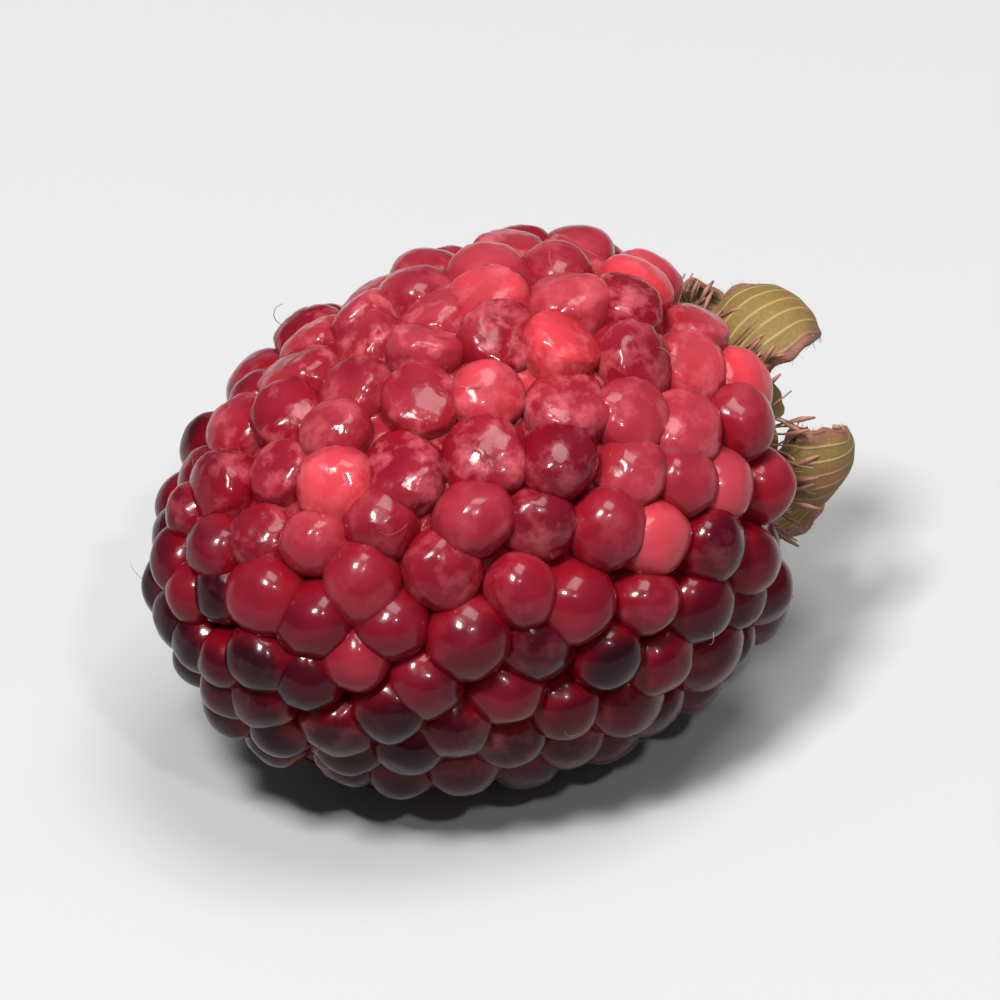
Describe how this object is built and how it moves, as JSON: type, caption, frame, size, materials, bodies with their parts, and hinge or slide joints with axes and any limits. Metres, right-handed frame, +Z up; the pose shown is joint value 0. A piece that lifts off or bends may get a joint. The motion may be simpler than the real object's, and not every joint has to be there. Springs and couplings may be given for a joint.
{
  "type": "bramble berry",
  "caption": "Ripe bramble berry with its calyx and a short stalk stub, lying on its side on pressed drupelets.",
  "frame": {"origin": "on the surface that the berry lies on, below the middle of its bounding box", "axes": "+X along the growing axis from the tip towards the calyx and stalk, +Z up from the surface"},
  "size_m": [0.031, 0.0224, 0.0217],
  "materials": {
    "fruit_skin": "thin glossy fruit skin, crimson on top to dark burgundy below",
    "calyx_green": "soft matt green plant tissue with pale felt",
    "sepal_green": "matt olive green blade with pale veins and a dried pinkish brown rim",
    "stamen_brown": "dry brown threads",
    "stalk_green": "dull green stalk with a torn brown end"
  },
  "bodies": {
    "root": {"fruit_body": "fruit_skin", "calyx_cup": "calyx_green", "sepal_1": "sepal_green", "sepal_2": "sepal_green", "sepal_3": "sepal_green", "sepal_4": "sepal_green", "sepal_5": "sepal_green", "stamen_ring": "stamen_brown", "stalk_stub": "stalk_green"}
  },
  "joints": []
}
